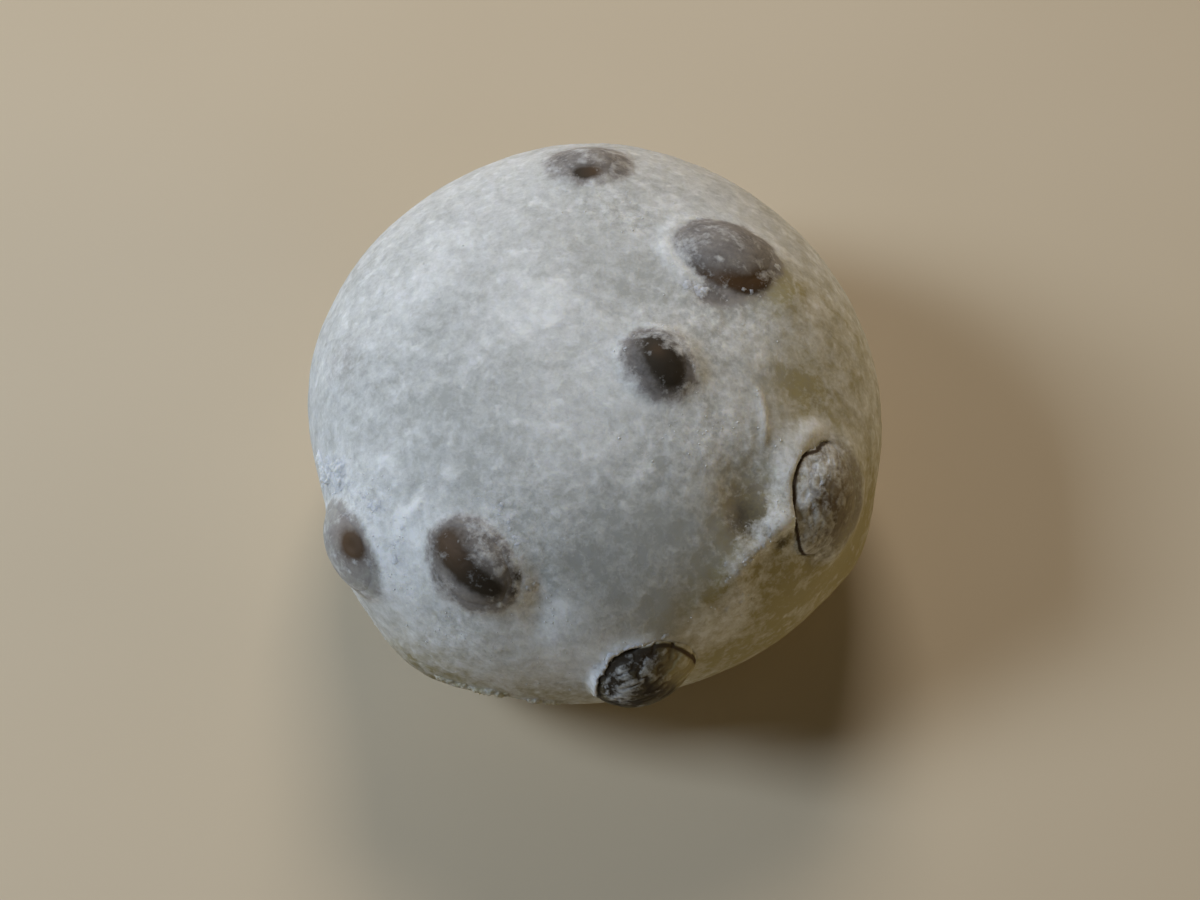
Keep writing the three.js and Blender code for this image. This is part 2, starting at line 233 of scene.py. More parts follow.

# Where the dough is painted warm and yellow: partly bare, damp dough clear enough to take the warm
# tone of what is under it, and partly painted warm bounce light on the lower and right sides.
DAMP_AND_BOUNCE = [
    (-18, 37, 5.5, 0.7), (12, 43, 4.5, 0.6), (-50, 33, 4.5, 0.45), (-35, -6, 12, 1.0),
    (10, 24, 9, 0.6), (-62, 4, 8, 0.9), (-122, -4, 4, 0.6), (-100, -8, 8, 0.8), (-50, 14, 6, 0.7),
    (-30, 10, 7, 0.6), (40, 20, 8, 0.3), (-8, 12, 8, 0.35), (-63, 17, 5, 0.4), (-62, 8, 4, 0.5),
    (-119, 8, 6, 0.25),
]

# Folds and ridges of the skin: places along each, height, half-width, the starch on it, and how
# far it breaks up into lumps, from 0 to 1.
FOLDS = [
    dict(path=[(-39, 32), (-43.8, 29), (-46.2, 28), (-49, 27), (-51.9, 26), (-55.3, 25.3),
               (-58.6, 24.4), (-61.7, 22.8), (-65, 19)],
         height=0.5, width=1.2, starch=1.1, lumps=0.45),
    dict(path=[(-24, 48), (-30, 44), (-40, 38)], height=0.25, width=0.35, starch=0.8, lumps=0.1),
    dict(path=[(-102, 33), (-100, 25), (-100.5, 12)],
         height=-0.2, width=1.1, starch=-0.15, lumps=0.1),
    dict(path=[(-131.5, 37), (-132, 29), (-130, 20)],
         height=0.15, width=0.6, starch=0.5, lumps=0.2),
    dict(path=[(-117, -3.2), (-107, -3.2), (-101.3, -5.4), (-93, -9)],
         height=0.3, width=0.8, starch=-0.1, lumps=0.6),
]


def unit(vectors):
    """Each vector, scaled to a length of 1."""
    return vectors / np.linalg.norm(vectors, axis=-1, keepdims=True)


def towards(around, up):
    """The unit vector at `around` and `up` degrees, as seen from the cake's centre."""
    around, up = np.radians(around), np.radians(up)
    level = np.cos(up)
    return np.stack([level * np.cos(around), level * np.sin(around), np.sin(up)], axis=-1)


def soft_min(a, b, ease):
    """The smaller of two lengths, with a cubic easing where they are within `ease`."""
    share = np.maximum(ease - np.abs(a - b), 0) / ease
    return np.minimum(a, b) - share**3 * ease / 6


def soft_max(a, b, ease):
    """The larger of two lengths, eased in the same way."""
    return -soft_min(-a, -b, ease)


def smooth(low, high, value):
    """0 below `low`, 1 above `high`, and an S-shaped rise between."""
    share = np.clip((value - low) / (high - low), 0, 1)
    return share * share * (3 - 2 * share)


def grain(points, size, seed):
    """Smooth random numbers from 0 to 1 over space: random values on a cubic lattice of that size,
    eased between the eight corners round each point."""
    lattice = np.random.default_rng(seed).random((32, 32, 32))
    place = points / size
    corner = np.floor(place).astype(int)
    share = place - corner
    share = share * share * (3 - 2 * share)
    total = np.zeros(len(points))
    for step in np.ndindex(2, 2, 2):
        weight = np.prod(np.where(step, share, 1 - share), axis=1)
        at = (corner + step) % 32
        total += weight * lattice[at[:, 0], at[:, 1], at[:, 2]]
    return total


def layered_grain(points, size, seed, layers=3, fade=0.5):
    """Grains of halving size, each `fade` times as strong as the last, from about -1 to 1."""
    strengths = fade ** np.arange(layers)
    total = sum(
        share * (2 * grain(points, size / 2**k, seed + k) - 1) for k, share in enumerate(strengths)
    )
    return total / strengths.sum()


def bare_reach(d):
    """How far the cake reaches from its centre without beans: a full dome and belly, (level /
    girth)^p + (upright / rise)^p = 1, eased into the plane of the foot."""
    around = np.arctan2(d[:, 1], d[:, 0])
    girth = GIRTH_RADIUS + sum(
        depth * np.cos(count * (around - np.radians(at))) for count, depth, at in GIRTH_LOBES
    )
    level = np.hypot(d[:, 0], d[:, 1]) / girth
    upright = np.abs(d[:, 2]) / np.where(d[:, 2] > 0, CROWN_RISE, BELLY_DROP)
    body = (level**FULLNESS + upright**FULLNESS) ** (-1 / FULLNESS)
    down = np.maximum(-d[:, 2], 1e-6)
    eased = soft_min(body, (GIRTH_HEIGHT + FOOT_PRESS) / down, FOOT_BLEND)
    return np.where(d[:, 2] < 0, eased, body)


CENTRE = np.array([0.0, 0.0, GIRTH_HEIGHT])


def skin_distance(d, around, up):
    """Millimetres along the skin from each direction to a place."""
    return GIRTH_RADIUS * np.arccos(np.clip(d @ towards(around, up), -1, 1))


NEAR_BEAN = 11.0  # how far from a bean's middle its socket changes the skin


def beside(bean, d):
    """The numbers of the directions that pass near a bean."""
    return np.nonzero(skin_distance(d, bean["around"], bean["up"]) < NEAR_BEAN)[0]


def path_distance(d, corners):
    """Millimetres along the skin from each direction to a line through corners, and how far along
    the line its nearest place is, from 0 to 1."""
    nearest, place = np.full(len(d), 1e3), np.zeros(len(d))
    ends = corners[1:] if len(corners) > 1 else corners
    for number, (start, end) in enumerate(zip(corners, ends)):
        along = end - start
        share = np.clip((d - start) @ along / max(along @ along, 1e-12), 0, 1)
        off = GIRTH_RADIUS * np.linalg.norm(d - start - share[:, None] * along, axis=1)
        place = np.where(off < nearest, (number + share) / len(ends), place)
        nearest = np.minimum(nearest, off)
    return nearest, place


def bean_place(bean):
    """The bean's middle, its three half sizes, and its long, wide and outward axes."""
    step = 0.5
    around, up = bean["around"], bean["up"]
    near = towards(
        np.array([around, around + step, around - step, around, around]),
        np.array([up, up, up, up + step, up - step]),
    )
    spot = CENTRE + near * bare_reach(near)[:, None]
    outward = unit(np.cross(spot[1] - spot[2], spot[3] - spot[4]))
    level = unit(np.cross([0, 0, 1], outward))
    uphill = np.cross(outward, level)
    turn = np.radians(bean["turn"])
    long = level * np.cos(turn) + uphill * np.sin(turn)
    half = np.array(bean["size"]) / 2
    middle = spot[0] + outward * (bean["proud"] - half[2])
    return middle, half, np.array([long, np.cross(outward, long), outward])


def bean_reach(d, bean):
    """How far a ray from the cake's centre goes before it leaves the bean, or 0 if it misses."""
    middle, half, axes = bean_place(bean)
    start = axes @ (CENTRE - middle) / half
    step = d @ axes.T / half
    square = (step**2).sum(axis=1)
    cross = step @ start
    inside = cross**2 - square * (start @ start - 1)
    return np.where(inside > 0, (np.sqrt(np.maximum(inside, 0)) - cross) / square, 0)


def spots(ball, places):
    """A number per point of a bean that fades round each spot, from its reach and amount."""
    total = np.zeros(len(ball))
    for x, y, reach, amount in places:
        spot = np.array([x, y, np.sqrt(max(1 - x * x - y * y, 0))])
        total += amount * np.exp(-((np.linalg.norm(ball - spot, axis=1) / reach) ** 2))
    return total


def dented_reach(d, bean):
    """The same, less the bean's pits."""
    middle, half, axes = bean_place(bean)
    reach = bean_reach(d, bean)
    ball = (CENTRE + d * reach[:, None] - middle) @ axes.T / half
    return np.where(reach > 0, reach - spots(ball, bean["pit"]), 0)


FOLD_END = 0.3  # over what share of its length a fold rises and runs out


def fold_share(d, fold):
    """1 along a fold's line, 0 away from it and at its ends, and broken up into lumps."""
    off, place = path_distance(d, towards(*np.array(fold["path"], float).T))
    ends = smooth(0, FOLD_END, place) * smooth(1, 1 - FOLD_END, place)
    broken = smooth(-0.25, 0.1, layered_grain(d * GIRTH_RADIUS, 2.4, 40))
    body = 1 - fold["lumps"] + fold["lumps"] * broken
    return np.exp(-((off / fold["width"]) ** 2)) * ends * body


def swollen_reach(d):
    """The skin over its whole round with swells, folds and the collars that the beans push up."""
    reach = bare_reach(d)
    for around, up, height, wide in SWELLS:
        reach += height * np.exp(-((skin_distance(d, around, up) / wide) ** 2))
    for fold in FOLDS:
        reach += fold["height"] * fold_share(d, fold)
    for bean in BEANS:
        wide = (bean["size"][0] + bean["size"][1]) / 4 + COLLAR_REACH / 2
        off = skin_distance(d, bean["around"], bean["up"]) / wide
        reach += COLLAR_HEIGHT * np.exp(-(off**2))
    return reach


def on_bean(points, bean):
    """Each point as the bean sees it: millimetres along its three axes, how far it lies from the
    outward axis as a share of the half sizes, and its angle round that axis in degrees."""
    middle, half, axes = bean_place(bean)
    place = (points - middle) @ axes.T
    flat = place[:, :2] / half[:2]
    share = np.maximum(np.linalg.norm(flat, axis=1), 1e-6)
    return place, share, np.degrees(np.arctan2(flat[:, 1], flat[:, 0]))


def rim_line(bean):
    """Where the bean comes out of the skin: angles round it, and the share of its half sizes at
    which its surface sinks below the skin, found on a fan of lines from its crown outwards."""
    middle, half, axes = bean_place(bean)
    share = np.linspace(0.4, 1.1, 71)[:, None, None]
    angle = np.radians(np.arange(0, 360, 4))[None, :, None]
    fan = np.concatenate(
        [half[0] * share * np.cos(angle), half[1] * share * np.sin(angle),
         (half[2] - bean["proud"]) * np.ones_like(share * angle)], axis=2)
    d = unit(middle + fan.reshape(-1, 3) @ axes - CENTRE)
    skin = swollen_reach(d)
    _, share, angle = on_bean(CENTRE + d * skin[:, None], bean)
    above = np.maximum(bean_reach(d, bean) - skin, -1).reshape(fan.shape[:2])
    share, angle = share.reshape(fan.shape[:2]), angle.reshape(fan.shape[:2])
    sunk = np.argmax(above <= 0, axis=0)[None, :]
    low, high = (np.take_along_axis(above, k, axis=0)[0] for k in (sunk, sunk - 1))
    past, before = (np.take_along_axis(share, k, axis=0)[0] for k in (sunk, sunk - 1))
    return np.take_along_axis(angle, sunk, axis=0)[0], before + (past - before) * high / (high - low)


RIMS = {bean["name"]: rim_line(bean) for bean in BEANS}
FAR_OFF = 99.0  # stands for any place on the far side of the cake


def from_rim(points, bean):
    """How many millimetres each point lies outside the bean's rim, and its angle round the bean."""
    place, share, angle = on_bean(points, bean)
    rim = np.interp(angle, *RIMS[bean["name"]], period=360)
    off = np.linalg.norm(place[:, :2], axis=1) * (1 - rim / share)
    return np.where(place[:, 2] > -bean["size"][2] / 2, off, FAR_OFF), angle


def along_rim(angle, bean, size, seed):
    """A ragged number from 0 to 1 that changes only along the bean's rim."""
    turn = np.radians(angle)
    ring = np.stack([np.cos(turn), np.sin(turn), 0 * turn], axis=1) * bean["size"][0] / 2
    return 0.5 + 0.5 * layered_grain(ring + [0, 0, bean["around"]], size, seed)


def turned_from(angle, middle):
    """How many degrees lie between two angles, the short way round."""
    return np.abs((angle - middle + 180) % 360 - 180)


TEAR_END = 14.0  # over how many degrees a tear runs out, or runs over into the next
BANK_END = 20.0  # and a bank


def torn_edge(angle, bean):
    """How torn the rim is at each angle, from 0 to 1, how far the dough's edge stands off the rim,
    and how high it is rolled back."""
    torn, gap, rolled = np.zeros((3, len(angle)))
    for middle, wide, off, ragged, lip in bean["tears"]:
        away = turned_from(angle, middle)
        share = smooth(wide + TEAR_END, wide - TEAR_END, away)
        torn += share
        gap += share * (off + ragged * (2 * along_rim(angle, bean, 1.6, 50) - 1))
        rolled += share * lip * (0.2 + 1.6 * along_rim(angle, bean, 2.2, 55))
    return np.minimum(torn, 1), gap, rolled


def bank_share(off, angle, bank):
    """1 along a bank beside the rim, and 0 away from it and past its ends. It is steeper towards
    the bean."""
    middle, half, out, wide = bank[:4]
    away = turned_from(angle, middle)
    across = (off - out) / np.where(off > out, wide, 0.6 * wide)
    return smooth(half + BANK_END, half - BANK_END, away) * np.exp(-(across**2))


FILM = 0.03  # how thin the dough is where it runs up on a bean
DEEP = 1.0  # how far under a bean's surface the dough lies, away from the rim
SINKING = (0.2, 2.2)  # from FILM to DEEP as a bean's surface rises so far above the skin
FILLET = 1.5  # over what difference in height the dough eases up on a bean
LAP = 0.05  # how thick the dough is where its torn edge laps over a bean
LAP_EASE = 0.6  # over what difference in height it eases off the bean again
LIP_WIDTH = 0.4
LIP_CREST = 0.7  # where a rolled lip is highest, past the torn edge, as a share of its width
LIP_STEEP = 1.5  # how steeply it falls away from there
EDGE_DROP = (0.3, -0.35)  # from where to where the torn edge drops, as shares of that width


def skin_reach(d):
    """The skin with its sockets. Where dough coats a bean it eases up to the bean's surface and
    passes just under it. Where it is torn, its edge is rolled back and drops into a narrow gap."""
    plain = swollen_reach(d)
    reach = plain.copy()
    for bean in BEANS:
        near = beside(bean, d)
        crown = dented_reach(d[near], bean)
        off, angle = from_rim(CENTRE + d[near] * plain[near, None], bean)
        skin = plain[near] + sum(bank[4] * bank_share(off, angle, bank) for bank in bean["banks"])
        tuck = FILM + (DEEP - FILM) * smooth(*SINKING, crown - skin)
        coated = soft_max(skin, crown - tuck, FILLET)
        share, gap, lip = torn_edge(angle, bean)
        past = (off - gap) / LIP_WIDTH
        crest = np.exp(-((past - LIP_CREST) ** 2) * LIP_STEEP)
        rolled = soft_max(skin, crown + LAP, LAP_EASE) + lip * crest
        torn = rolled + (skin - DEEP - rolled) * smooth(*EDGE_DROP, past)
        reach[near] += share * torn + (1 - share) * coated - plain[near]
    return reach


def ball_grid(cells):
    """Directions evenly over a ball, and the quads between them: the six faces of a cube, cells by
    cells, blown up with a tangent, their shared edges merged."""
    i, j = np.meshgrid(np.arange(cells + 1), np.arange(cells + 1), indexing="ij")
    a, b = i[:-1, :-1], j[:-1, :-1]
    row = cells + 1
    square = np.stack([a * row + b, (a + 1) * row + b, (a + 1) * row + b + 1, a * row + b + 1], -1)
    square = square.reshape(-1, 4)
    lattice, quads = [], []
    for axis in range(3):
        for side in (0, cells):
            face = np.empty((row, row, 3), int)
            face[..., axis] = side
            face[..., (axis + 1) % 3] = i
            face[..., (axis + 2) % 3] = j
            quads.append((square if side else square[:, ::-1]) + len(lattice) * row * row)
            lattice.append(face.reshape(-1, 3))
    lattice = np.concatenate(lattice)
    key = lattice @ np.array([row * row, row, 1])
    _, first, where = np.unique(key, return_index=True, return_inverse=True)
    d = np.tan((2 * lattice[first] / cells - 1) * np.pi / 4)
    return unit(d), where[np.concatenate(quads)]


RIM_PULL = 0.28  # how close the grid's lines lie at a bean's rim, as a share of their spacing
RIM_ZONE = 2.2  # how far from the rim they are drawn in


def drawn_to_rims(d):
    """The same directions, slid along the skin towards each bean's torn edge, so that it is cut
    clean: the distance from that edge shrinks to RIM_PULL of itself where it is small."""
    for bean in BEANS:
        near = beside(bean, d)
        points = CENTRE + d[near] * swollen_reach(d[near])[:, None]
        place, _, _ = on_bean(points, bean)
        off, angle = from_rim(points, bean)
        off = off - torn_edge(angle, bean)[1]
        share = np.clip(off / RIM_ZONE, -1, 1)
        pulled = share * (RIM_PULL + (1 - RIM_PULL) * smooth(0, 1, np.abs(share))) * RIM_ZONE
        slide = np.where(np.abs(share) < 1, pulled - off, 0)
        out = place[:, :2] / np.maximum(np.linalg.norm(place[:, :2], axis=1, keepdims=True), 1e-6)
        moved = points + (slide[:, None] * out) @ bean_place(bean)[2][:2] - CENTRE
        d[near] = unit(moved)
    return d


def add_surface(name, points, quads, marks, material):
    """Puts a surface into Blender: its points, its faces, and a number per point for each mark."""
    mesh = bpy.data.meshes.new(name)
    mesh.from_pydata((points * MM).tolist(), [], quads.tolist())
    mesh.polygons.foreach_set("use_smooth", np.ones(len(mesh.polygons), bool))
    for mark, values in marks.items():
        mesh.attributes.new(mark, "FLOAT", "POINT").data.foreach_set("value", values)
    mesh.materials.append(material)
    piece = bpy.data.objects.new(name, mesh)
    bpy.context.scene.collection.objects.link(piece)
    return piece


def new_material(name):
    """An empty material, its node tree and its principled shader."""
    material = bpy.data.materials.new(name)
    material.use_nodes = True
    tree = material.node_tree
    return material, tree, tree.nodes["Principled BSDF"]


def set_sockets(tree, node, sockets):
    """Each socket, by name or number, is set to a value or linked to another node's output."""
    for name, value in sockets.items():
        if isinstance(value, bpy.types.NodeSocket):
            tree.links.new(value, node.inputs[name])
        else:
            node.inputs[name].default_value = value


def add_node(tree, kind, sockets, output=0, **settings):
    """A new node's output, with its sockets and its other settings as given."""
    node = tree.nodes.new(kind)
    for name, value in settings.items():
        setattr(node, name, value)
    set_sockets(tree, node, sockets)
    return node.outputs[output]


def read_mark(tree, name):
    """The number that add_surface kept at each point under that name."""
    return add_node(tree, "ShaderNodeAttribute", {}, 2, attribute_name=name)


def ramp(tree, value, low, high, shape="SMOOTHSTEP"):
    """0 below `low`, 1 above `high`, and a rise between, S-shaped if not told otherwise."""
    sockets = {"Value": value, "From Min": low, "From Max": high}
    return add_node(tree, "ShaderNodeMapRange", sockets, interpolation_type=shape, clamp=True)


def arithmetic(tree, operation, a, b=0.0, c=0.0):
    """a and b, added, multiplied and so on."""
    return add_node(tree, "ShaderNodeMath", {0: a, 1: b, 2: c}, operation=operation)


def mottle(tree, place, size, detail, roughness, distortion=0.0):
    """Cloudy numbers round 0.5, with clouds about `size` millimetres across."""
    sockets = {
        "Vector": place,
        "Scale": 1 / (size * MM),
        "Detail": detail,
        "Roughness": roughness,
        "Distortion": distortion,
    }
    return add_node(tree, "ShaderNodeTexNoise", sockets)


def stir(tree, level, cloud, strength):
    """The level with a cloud's departure from its middle added to it."""
    lowered = arithmetic(tree, "SUBTRACT", level, strength / 2)
    return arithmetic(tree, "MULTIPLY_ADD", cloud, strength, lowered)


def mix_colour(tree, share, a, b, blend="MIX"):
    """From colour a to colour b by `share`."""
    return add_node(
        tree, "ShaderNodeMix", {0: share, 6: a, 7: b}, 2, data_type="RGBA", blend_type=blend
    )


DOUGH_COLOUR = (0.45, 0.46, 0.45, 1)
# The yellow of clear damp dough, used also as painted warm bounce light on the lower and right
# sides.
DAMP_BOUNCE_COLOUR = (0.385, 0.335, 0.18, 1)
STARCH_COLOUR = (0.84, 0.85, 0.86, 1)
BARE_COLOUR = (0.034, 0.026, 0.018, 1)  # a black bean's cooked skin
BROWN_COLOUR = (0.105, 0.06, 0.03, 1)  # the same, where it is thin or rubbed
STAINED_COLOUR = (0.43, 0.405, 0.40, 1)  # a thin film of dough that took up the bean's colour


def dusted_skin(name, clear):
    """Steamed dough, thick or as a film over a bean, under a thin, blotchy layer of starch. The
    starch's own clouds come in several sizes: broad patches, wisps, blotches, scattered tufts and
    specks, and finer ones where it is crumbly. clear is how far light goes into what is under it."""
    material, tree, shader = new_material(name)
    place = add_node(tree, "ShaderNodeTexCoord", {}, 3)
    patches = mottle(tree, place, 6.0, 2, 0.5, 0.3)
    wisps = mottle(tree, place, 2.4, 4, 0.6, 0.7)
    blotches = mottle(tree, place, 1.0, 3, 0.6, 0.4)
    tufts = ramp(tree, mottle(tree, place, 1.5, 2, 0.5, 0.4), 0.55, 0.75)
    specks = mottle(tree, place, 0.3, 3, 0.65)
    level = stir(tree, read_mark(tree, "starch"), patches, 0.7)
    level = stir(tree, level, wisps, 1.7)
    level = stir(tree, level, blotches, 1.5)
    level = stir(tree, level, tufts, 0.5)
    level = stir(tree, level, specks, 0.8)
    crumbs = stir(tree, 0.0, mottle(tree, place, 0.8, 5, 0.7, 0.3), 3.0)
    level = arithmetic(tree, "MULTIPLY_ADD", crumbs, read_mark(tree, "crumbly"), level)
    cover = ramp(tree, level, -0.25, 1.25, "LINEAR")

    clouds = mottle(tree, place, 1.2, 4, 0.6, 0.4)
    film = stir(tree, read_mark(tree, "film"), clouds, 0.5)
    film = stir(tree, film, specks, 0.25)
    dark = mix_colour(tree, read_mark(tree, "brown"), BARE_COLOUR, BROWN_COLOUR)
    dough = mix_colour(tree, ramp(tree, film, 0.6, 1.0), STAINED_COLOUR, DOUGH_COLOUR)
    # The damp tint: the clear damp dough's own yellow, and painted warm bounce light.
    damp_and_bounce = stir(tree, stir(tree, read_mark(tree, "damp_and_bounce"), clouds, 0.7), specks, 0.4)
    dough = mix_colour(tree, ramp(tree, damp_and_bounce, 0.0, 1.0), dough, DAMP_BOUNCE_COLOUR)
    body = mix_colour(tree, ramp(tree, film, 0.0, 1.05), dark, dough)
    colour = mix_colour(tree, cover, body, STARCH_COLOUR)
    rough = arithmetic(tree, "MULTIPLY_ADD", cover, 0.3, 0.62)
    height = arithmetic(tree, "MULTIPLY_ADD", specks, 0.4, cover)
    relief = {"Height": height, "Distance": 0.05 * MM, "Strength": 0.6}
    set_sockets(tree, shader, {
        "Base Color": colour,
        "Roughness": rough,
        "Normal": add_node(tree, "ShaderNodeBump", relief),
        "Specular IOR Level": 0.2,
        "Subsurface Weight": clear,
        "Subsurface Radius": (1.2, 1.0, 0.6),
        "Subsurface Scale": 1.3 * MM,
    })
    return material


SKIN_CELLS = 127  # along each edge of the cube, which keeps the skin under 200,000 triangles
CRUST = 0.06  # how high the starch's larger blotches stand
CRUMB = 0.1  # how high it stands where it is crumbly
UNEVEN = 0.12  # how uneven the hand left the dough
CLEAR_AND_BOUNCE_FOOT = (14, -12)  # between how many degrees up the belly turns bare and damp, with painted warm bounce light


def patches_of(d, places):
    """A number per direction that fades round each place, from its reach and amount."""
    total = np.zeros(len(d))
    for around, up, wide, amount in places:
        total += amount * np.exp(-((skin_distance(d, around, up) / wide) ** 2))
    return total


def dusted_reach(d):
    """The skin as it ends up: uneven from the hand, rough where starch has caked on it, and cut
    off flat at the foot."""
    reach = skin_reach(d)
    points = CENTRE + d * reach[:, None]
    rough = CRUST * layered_grain(points, 1.4, 20) + UNEVEN * layered_grain(points, 9.0, 30)
    rough += CRUMB * np.clip(patches_of(d, CRUMBLY), 0, 1) * layered_grain(points, 0.9, 35, 2)
    reach = reach + rough * smooth(0.0, 1.2, points[:, 2])
    down = np.maximum(-d[:, 2], 1e-6)
    return np.where(d[:, 2] < 0, np.minimum(reach, GIRTH_HEIGHT / down), reach)


# Where a bean under the skin darkens the dough from inside, and painted shade in the skin's hollows
# and dents.
SUNK_BEANS_AND_HOLLOW_SHADE = [
    (-122, -5, 4, 0.4), (-176, 29, 3.5, 0.2), (-48.2, 23.7, 0.9, 0.7), (-17, 35, 3, 0.15),
    (9.5, 54.5, 1.5, 0.35), (12, 50.5, 1.4, 0.4), (13.5, 60.5, 1.3, 0.35), (18.4, 62.2, 0.9, 0.4),
    (9, 62, 1.4, 0.35), (7, 58.3, 1.4, 0.35), (-50, 31.5, 2.6, 0.45), (-54.5, 30, 2, 0.3),
]
OPEN_EDGE = (0.1, -0.05)  # from where to where, off a torn edge, the bean begins to lie bare
SLIT_SHADE = 0.28  # how wide the dark gap is beside a torn edge: bare bean, with painted shade from the edge
COAT = (0.55, 0.1, 7.0)  # the starch coat: how thick from 0 to 1, how uneven, and how broadly so
FULL_COAT = 1.15  # more starch than this doesn't show
BELLY_DAMP_AND_BOUNCE = 0.35  # how damp the belly is near the foot, and how much painted warm bounce light it has there
VEIL_EDGE = 0.4  # how far above the skin a bean's surface has only its own film over it
VEIL_RAGGED = 0.6  # how unevenly a bean shows through
DUSTED = 1.5  # how strongly the dust on a bean counts
EDGE_LINE = (0.2, 0.35)  # the pale line along a torn edge: how far out it lies, half its width
EDGE_STARCH = 0.2  # the starch on it
LIP_STARCH = 2.5  # how much more it has for each millimetre of its rolled lip
SLIT_SHADE_STARCH = 1.5  # how much less starch the dark gap has, for its painted shade
BARE = -0.3  # the mark of a skin with no film at all


def outer_marks(d):
    """How the outside looks in each direction from the centre, alike on the dough and on the
    beans, so that a film or a dusting runs on over the line between them."""
    skin = swollen_reach(d)
    thick, uneven, broad = COAT
    starch = thick + uneven * layered_grain(CENTRE + d * skin[:, None], broad, 10)
    starch += patches_of(d, DUSTINGS)
    for fold in FOLDS:
        starch += fold["starch"] * fold_share(d, fold)
    # Painted warm bounce light on the belly and the lower sides, along with bare damp dough.
    belly = smooth(*CLEAR_AND_BOUNCE_FOOT, np.degrees(np.arcsin(d[:, 2])))
    damp_and_bounce = np.clip(patches_of(d, DAMP_AND_BOUNCE) + BELLY_DAMP_AND_BOUNCE * belly, 0, 1)
    # Beans under the skin, and painted shade in its hollows, take film off the dough.
    film = 1 - patches_of(d, SUNK_BEANS_AND_HOLLOW_SHADE)
    crumbly = patches_of(d, CRUMBLY)
    brown = np.zeros(len(d))
    for bean in BEANS:
        near = beside(bean, d)
        if not len(near):
            continue
        crown = np.maximum(bean_reach(d[near], bean), dented_reach(d[near], bean))
        points = CENTRE + d[near] * np.maximum(skin[near], crown)[:, None]
        above = np.where(crown > 0, crown - skin[near], -FAR_OFF)
        above += VEIL_RAGGED * layered_grain(points, 1.3, 70)
        off, angle = from_rim(CENTRE + d[near] * skin[near, None], bean)
        torn, gap, lip = torn_edge(angle, bean)
        open_share = torn * smooth(gap + OPEN_EDGE[0], gap + OPEN_EDGE[1], off)
        # The dark gap beside a torn edge: the bean bare of film and starch, darkened as painted
        # shade.
        slit_shade = open_share * smooth(gap - SLIT_SHADE, gap - 0.5 * SLIT_SHADE, off)
        veiled = open_share + (1 - torn) * smooth(-bean["veil"], VEIL_EDGE, above)
        share = open_share + (1 - torn) * smooth(-0.6 * bean["veil"], VEIL_EDGE, above)
        ball = unit(on_bean(points, bean)[0] / (np.array(bean["size"]) / 2))
        worn = np.clip(bean["film"] + spots(ball, bean["worn"]), BARE, 1)
        dust = bean["powder"] + DUSTED * spots(ball, bean["dust"])
        film[near] += veiled * (worn - film[near])
        starch[near] += share * (dust - starch[near])
        aside = (off - gap - EDGE_LINE[0]) / EDGE_LINE[1]
        at_edge = torn * (1 - share) * np.exp(-(aside**2))
        starch[near] += (EDGE_STARCH + LIP_STARCH * lip) * at_edge - SLIT_SHADE_STARCH * slit_shade
        film[near] -= slit_shade * np.maximum(film[near], 0)
        for bank in bean["banks"]:
            piled = bank_share(off, angle, bank) * (1 - share)
            starch[near] += bank[5] * piled
            film[near] += np.clip(2 * piled, 0, 1) * (1 - film[near])
        # A bean's own damp tone, and painted warm bounce light.
        damp_and_bounce[near] += share * (bean["damp_and_bounce"] - damp_and_bounce[near])
        brown[near] = np.maximum(brown[near], veiled * spots(ball, bean["brown"]))
        crumbly[near] = np.maximum(crumbly[near], spots(ball, bean["crumbs"])) * (1 - slit_shade)
    return {
        "starch": soft_min(starch, FULL_COAT, 0.4),
        "crumbly": np.clip(crumbly, 0, 1),
        "damp_and_bounce": damp_and_bounce,
        "film": np.clip(film, BARE, 1),
        "brown": np.clip(brown, 0, 1),
    }


def rice_cake():
    """The dough's whole skin as one closed surface round the cake's centre."""
    d, quads = ball_grid(SKIN_CELLS)
    d = drawn_to_rims(d)
    points = CENTRE + d * dusted_reach(d)[:, None]
    return add_surface("rice_cake", points, quads, outer_marks(d), cake_skin)


cake_skin = dusted_skin("rice_skin", 0.35)
cake = rice_cake()
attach(cake, "root")
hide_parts("mochi")

# ---- The beans ---------------------------------------------------------------------------------
# Black soybeans cooked soft and whole. Some wear a thin film of dough, grey over their dark skin
# and worn through in places. Others stand bare in a torn socket, wrinkled and dusted with starch.
BEAN_CELLS = 64  # along each edge of the cube that a bean's grid comes from
CREASE_SHADE_FILM = 2  # painted shade in a crease: how much film it loses, for each millimetre of its depth
CREASE_SHADE_STARCH = 4  # and how much starch, for the same painted shade


def cooked_bean(bean, material, seed):
    """An ellipsoid in the bean's own axes, moved along its outward direction by broad lumps, by
    wrinkles (a grain folded at its middle, which leaves narrow valleys) and by pits."""
    ball, quads = ball_grid(BEAN_CELLS)
    middle, half, axes = bean_place(bean)
    solid = ball * half
    deep, apart = bean["wrinkle"]
    folded = np.abs(layered_grain(solid * [0.6, 1.3, 1.0], apart, seed + 5))
    valleys = smooth(0.25, 0.0, folded)
    outward = unit(ball / half)
    relief = 0.06 * layered_grain(solid, 4.5, seed) - deep * valleys - spots(ball, bean["pit"])
    points = middle + (solid + outward * relief[:, None]) @ axes
    marks = outer_marks(unit(points - CENTRE))
    # Painted shade in the creases: darker the deeper they are.
    marks["film"] -= CREASE_SHADE_FILM * deep * valleys
    marks["starch"] -= CREASE_SHADE_STARCH * deep * valleys
    return add_surface(bean["name"] + "_cooked", points, quads, marks, material)


cooked_skin = dusted_skin("bean_skin", 0.2)
for number, bean in enumerate(BEANS):
    piece = cooked_bean(bean, cooked_skin, 100 + 10 * number)
    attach(piece, "root")
    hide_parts(bean["name"])

